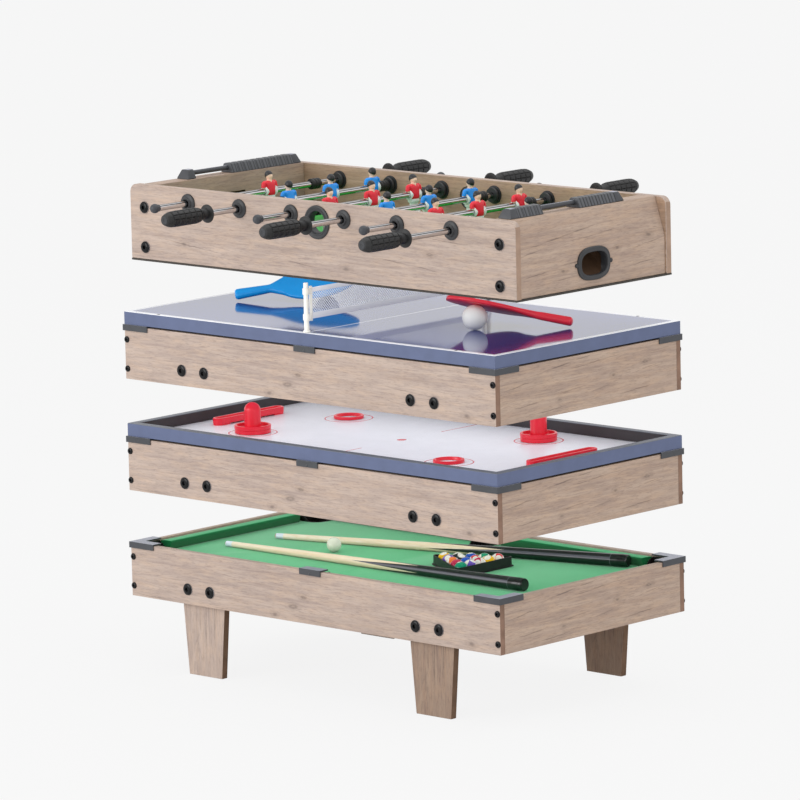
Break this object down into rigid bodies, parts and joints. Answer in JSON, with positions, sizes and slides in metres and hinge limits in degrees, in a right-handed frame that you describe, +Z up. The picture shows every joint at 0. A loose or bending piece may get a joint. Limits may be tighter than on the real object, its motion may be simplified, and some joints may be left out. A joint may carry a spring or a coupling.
{
  "type": "multi game table",
  "caption": "Small multi game table taken apart in tiers: pool base on legs, slide-hockey board, table-tennis board with net, and foosball cabinet with rods",
  "frame": {"origin": "centre of the bounding box at floor level", "axes": "+X along the table's length, +Y from the front (near) side to the back, +Z up"},
  "size_m": [0.842, 0.768, 0.8073],
  "materials": {
    "greige_wood": "wood-print foil, matt",
    "green_cloth": "felt",
    "blue_board": "painted board, satin",
    "lavender_board": "lacquered board, gloss",
    "white_net": "matt",
    "red_gloss": "gloss",
    "blue_rubber": "smooth",
    "red_rubber": "smooth",
    "red_player": "painted",
    "blue_player": "painted",
    "black_plastic": "satin",
    "pitch_green": "printed board",
    "dark_board": "raw fibreboard",
    "pale_wood": "varnished",
    "ivory": "polished",
    "ball_colours": "polished, several colours"
  },
  "bodies": {
    "base": {"pool_front_panel": "greige_wood", "pool_back_panel": "greige_wood", "pool_left_panel": "greige_wood", "pool_right_panel": "greige_wood", "leg_front_left": "greige_wood", "leg_front_right": "greige_wood", "leg_back_left": "greige_wood", "leg_back_right": "greige_wood", "pool_bed": "green_cloth"},
    "hockey": {"hockey_front_panel": "greige_wood", "hockey_back_panel": "greige_wood", "hockey_left_panel": "greige_wood", "hockey_right_panel": "greige_wood", "hockey_board": "blue_board"},
    "tennis": {"tennis_front_panel": "greige_wood", "tennis_back_panel": "greige_wood", "tennis_left_panel": "greige_wood", "tennis_right_panel": "greige_wood", "tennis_board": "lavender_board", "tennis_net": "white_net"},
    "foosball": {"foosball_front_panel": "greige_wood", "foosball_back_panel": "greige_wood", "foosball_left_end": "greige_wood", "foosball_right_end": "greige_wood", "foosball_field": "pitch_green", "foosball_bottom": "dark_board"},
    "rod_1_slider": {"rod_1_cap": "black_plastic"},
    "rod_1_team": {"rod_1": "red_player", "rod_1_handle": "black_plastic"},
    "rod_2_slider": {"rod_2_cap": "black_plastic"},
    "rod_2_team": {"rod_2": "blue_player", "rod_2_handle": "black_plastic"},
    "rod_3_slider": {"rod_3_cap": "black_plastic"},
    "rod_3_team": {"rod_3": "red_player", "rod_3_handle": "black_plastic"},
    "rod_4_slider": {"rod_4_cap": "black_plastic"},
    "rod_4_team": {"rod_4": "blue_player", "rod_4_handle": "black_plastic"},
    "rod_5_slider": {"rod_5_cap": "black_plastic"},
    "rod_5_team": {"rod_5": "red_player", "rod_5_handle": "black_plastic"},
    "rod_6_slider": {"rod_6_cap": "black_plastic"},
    "rod_6_team": {"rod_6": "blue_player", "rod_6_handle": "black_plastic"},
    "beads_left": {"scorer_beads_left": "black_plastic"},
    "beads_near": {"scorer_beads_near": "black_plastic"},
    "beads_far": {"scorer_beads_far": "black_plastic"},
    "paddle_blue": {"paddle_blue": "blue_rubber"},
    "paddle_red": {"paddle_red": "red_rubber"},
    "tennis_ball_left": {"tennis_ball_left": "ivory"},
    "tennis_ball_right": {"tennis_ball_right": "ivory"},
    "pusher_left": {"pusher_left": "red_gloss"},
    "pusher_right": {"pusher_right": "red_gloss"},
    "puck_left": {"puck_left": "red_gloss"},
    "puck_right": {"puck_right": "red_gloss"},
    "cue_front": {"cue_front": "pale_wood"},
    "cue_back": {"cue_back": "pale_wood"},
    "cue_ball": {"cue_ball": "ivory"},
    "pool_balls": {"pool_balls": "ball_colours"},
    "ball_rack": {"ball_rack": "black_plastic"}
  },
  "joints": [
    {"name": "hockey_lift", "type": "slide", "parent": "base", "child": "hockey", "axis": [0, 0, 1], "range_m": [-0.0847, 0.05]},
    {"name": "tennis_lift", "type": "slide", "parent": "hockey", "child": "tennis", "axis": [0, 0, 1], "range_m": [-0.0727, 0.05]},
    {"name": "foosball_lift", "type": "slide", "parent": "tennis", "child": "foosball", "axis": [0, 0, 1], "range_m": [0, 0.12]},
    {"name": "rod_1_slide", "type": "slide", "parent": "foosball", "child": "rod_1_slider", "axis": [0, 1, 0], "range_m": [-0.049, 0.041]},
    {"name": "rod_1_turn", "type": "hinge", "parent": "rod_1_slider", "child": "rod_1_team", "pos_m": [-0.2875, 0.004, 0.769], "axis": [0, 1, 0], "continuous": true},
    {"name": "rod_2_slide", "type": "slide", "parent": "foosball", "child": "rod_2_slider", "axis": [0, 1, 0], "range_m": [-0.0585, 0.0005]},
    {"name": "rod_2_turn", "type": "hinge", "parent": "rod_2_slider", "child": "rod_2_team", "pos_m": [-0.1725, 0.029, 0.769], "axis": [0, 1, 0], "continuous": true},
    {"name": "rod_3_slide", "type": "slide", "parent": "foosball", "child": "rod_3_slider", "axis": [0, 1, 0], "range_m": [-0.0335, 0.0255]},
    {"name": "rod_3_turn", "type": "hinge", "parent": "rod_3_slider", "child": "rod_3_team", "pos_m": [-0.0575, 0.004, 0.769], "axis": [0, 1, 0], "continuous": true},
    {"name": "rod_4_slide", "type": "slide", "parent": "foosball", "child": "rod_4_slider", "axis": [0, 1, 0], "range_m": [-0.0445, 0.0145]},
    {"name": "rod_4_turn", "type": "hinge", "parent": "rod_4_slider", "child": "rod_4_team", "pos_m": [0.0575, 0.015, 0.769], "axis": [0, 1, 0], "continuous": true},
    {"name": "rod_5_slide", "type": "slide", "parent": "foosball", "child": "rod_5_slider", "axis": [0, 1, 0], "range_m": [-0.0335, 0.0255]},
    {"name": "rod_5_turn", "type": "hinge", "parent": "rod_5_slider", "child": "rod_5_team", "pos_m": [0.1725, 0.004, 0.769], "axis": [0, 1, 0], "continuous": true},
    {"name": "rod_6_slide", "type": "slide", "parent": "foosball", "child": "rod_6_slider", "axis": [0, 1, 0], "range_m": [-0.041, 0.049]},
    {"name": "rod_6_turn", "type": "hinge", "parent": "rod_6_slider", "child": "rod_6_team", "pos_m": [0.2875, -0.004, 0.769], "axis": [0, 1, 0], "continuous": true},
    {"name": "beads_left_slide", "type": "slide", "parent": "foosball", "child": "beads_left", "axis": [0, 1, 0], "range_m": [-0.084, 0]},
    {"name": "beads_near_slide", "type": "slide", "parent": "foosball", "child": "beads_near", "axis": [0, 1, 0], "range_m": [0, 0.084]},
    {"name": "beads_far_slide", "type": "slide", "parent": "foosball", "child": "beads_far", "axis": [0, 1, 0], "range_m": [-0.084, 0]},
    {"name": "paddle_blue_slide", "type": "slide", "parent": "tennis", "child": "paddle_blue", "axis": [-0.7242, -0.6896, 0], "range_m": [0, 0.08]},
    {"name": "paddle_red_slide", "type": "slide", "parent": "tennis", "child": "paddle_red", "axis": [0.8572, 0.515, 0], "range_m": [0, 0.08]},
    {"name": "tennis_ball_left_roll", "type": "slide", "parent": "tennis", "child": "tennis_ball_left", "axis": [0, 1, 0], "range_m": [0, 0.08]},
    {"name": "tennis_ball_right_roll", "type": "slide", "parent": "tennis", "child": "tennis_ball_right", "axis": [0, 1, 0], "range_m": [-0.08, 0]},
    {"name": "pusher_left_slide", "type": "slide", "parent": "hockey", "child": "pusher_left", "axis": [0, 1, 0], "range_m": [-0.08, 0.045]},
    {"name": "pusher_right_slide", "type": "slide", "parent": "hockey", "child": "pusher_right", "axis": [0, 1, 0], "range_m": [-0.08, 0.045]},
    {"name": "puck_left_slide", "type": "slide", "parent": "hockey", "child": "puck_left", "axis": [1, 0, 0], "range_m": [-0.08, 0.08]},
    {"name": "puck_right_slide", "type": "slide", "parent": "hockey", "child": "puck_right", "axis": [1, 0, 0], "range_m": [-0.08, 0.08]},
    {"name": "cue_front_lift", "type": "slide", "parent": "base", "child": "cue_front", "axis": [0, 0, 1], "range_m": [0, 0.04]},
    {"name": "cue_back_lift", "type": "slide", "parent": "base", "child": "cue_back", "axis": [0, 0, 1], "range_m": [0, 0.04]},
    {"name": "cue_ball_roll", "type": "slide", "parent": "base", "child": "cue_ball", "axis": [1, 0, 0], "range_m": [-0.15, 0.12]},
    {"name": "pool_balls_lift", "type": "slide", "parent": "base", "child": "pool_balls", "axis": [0, 0, 1], "range_m": [0, 0.03]},
    {"name": "rack_lift", "type": "slide", "parent": "base", "child": "ball_rack", "axis": [0, 0, 1], "range_m": [0, 0.04]}
  ]
}
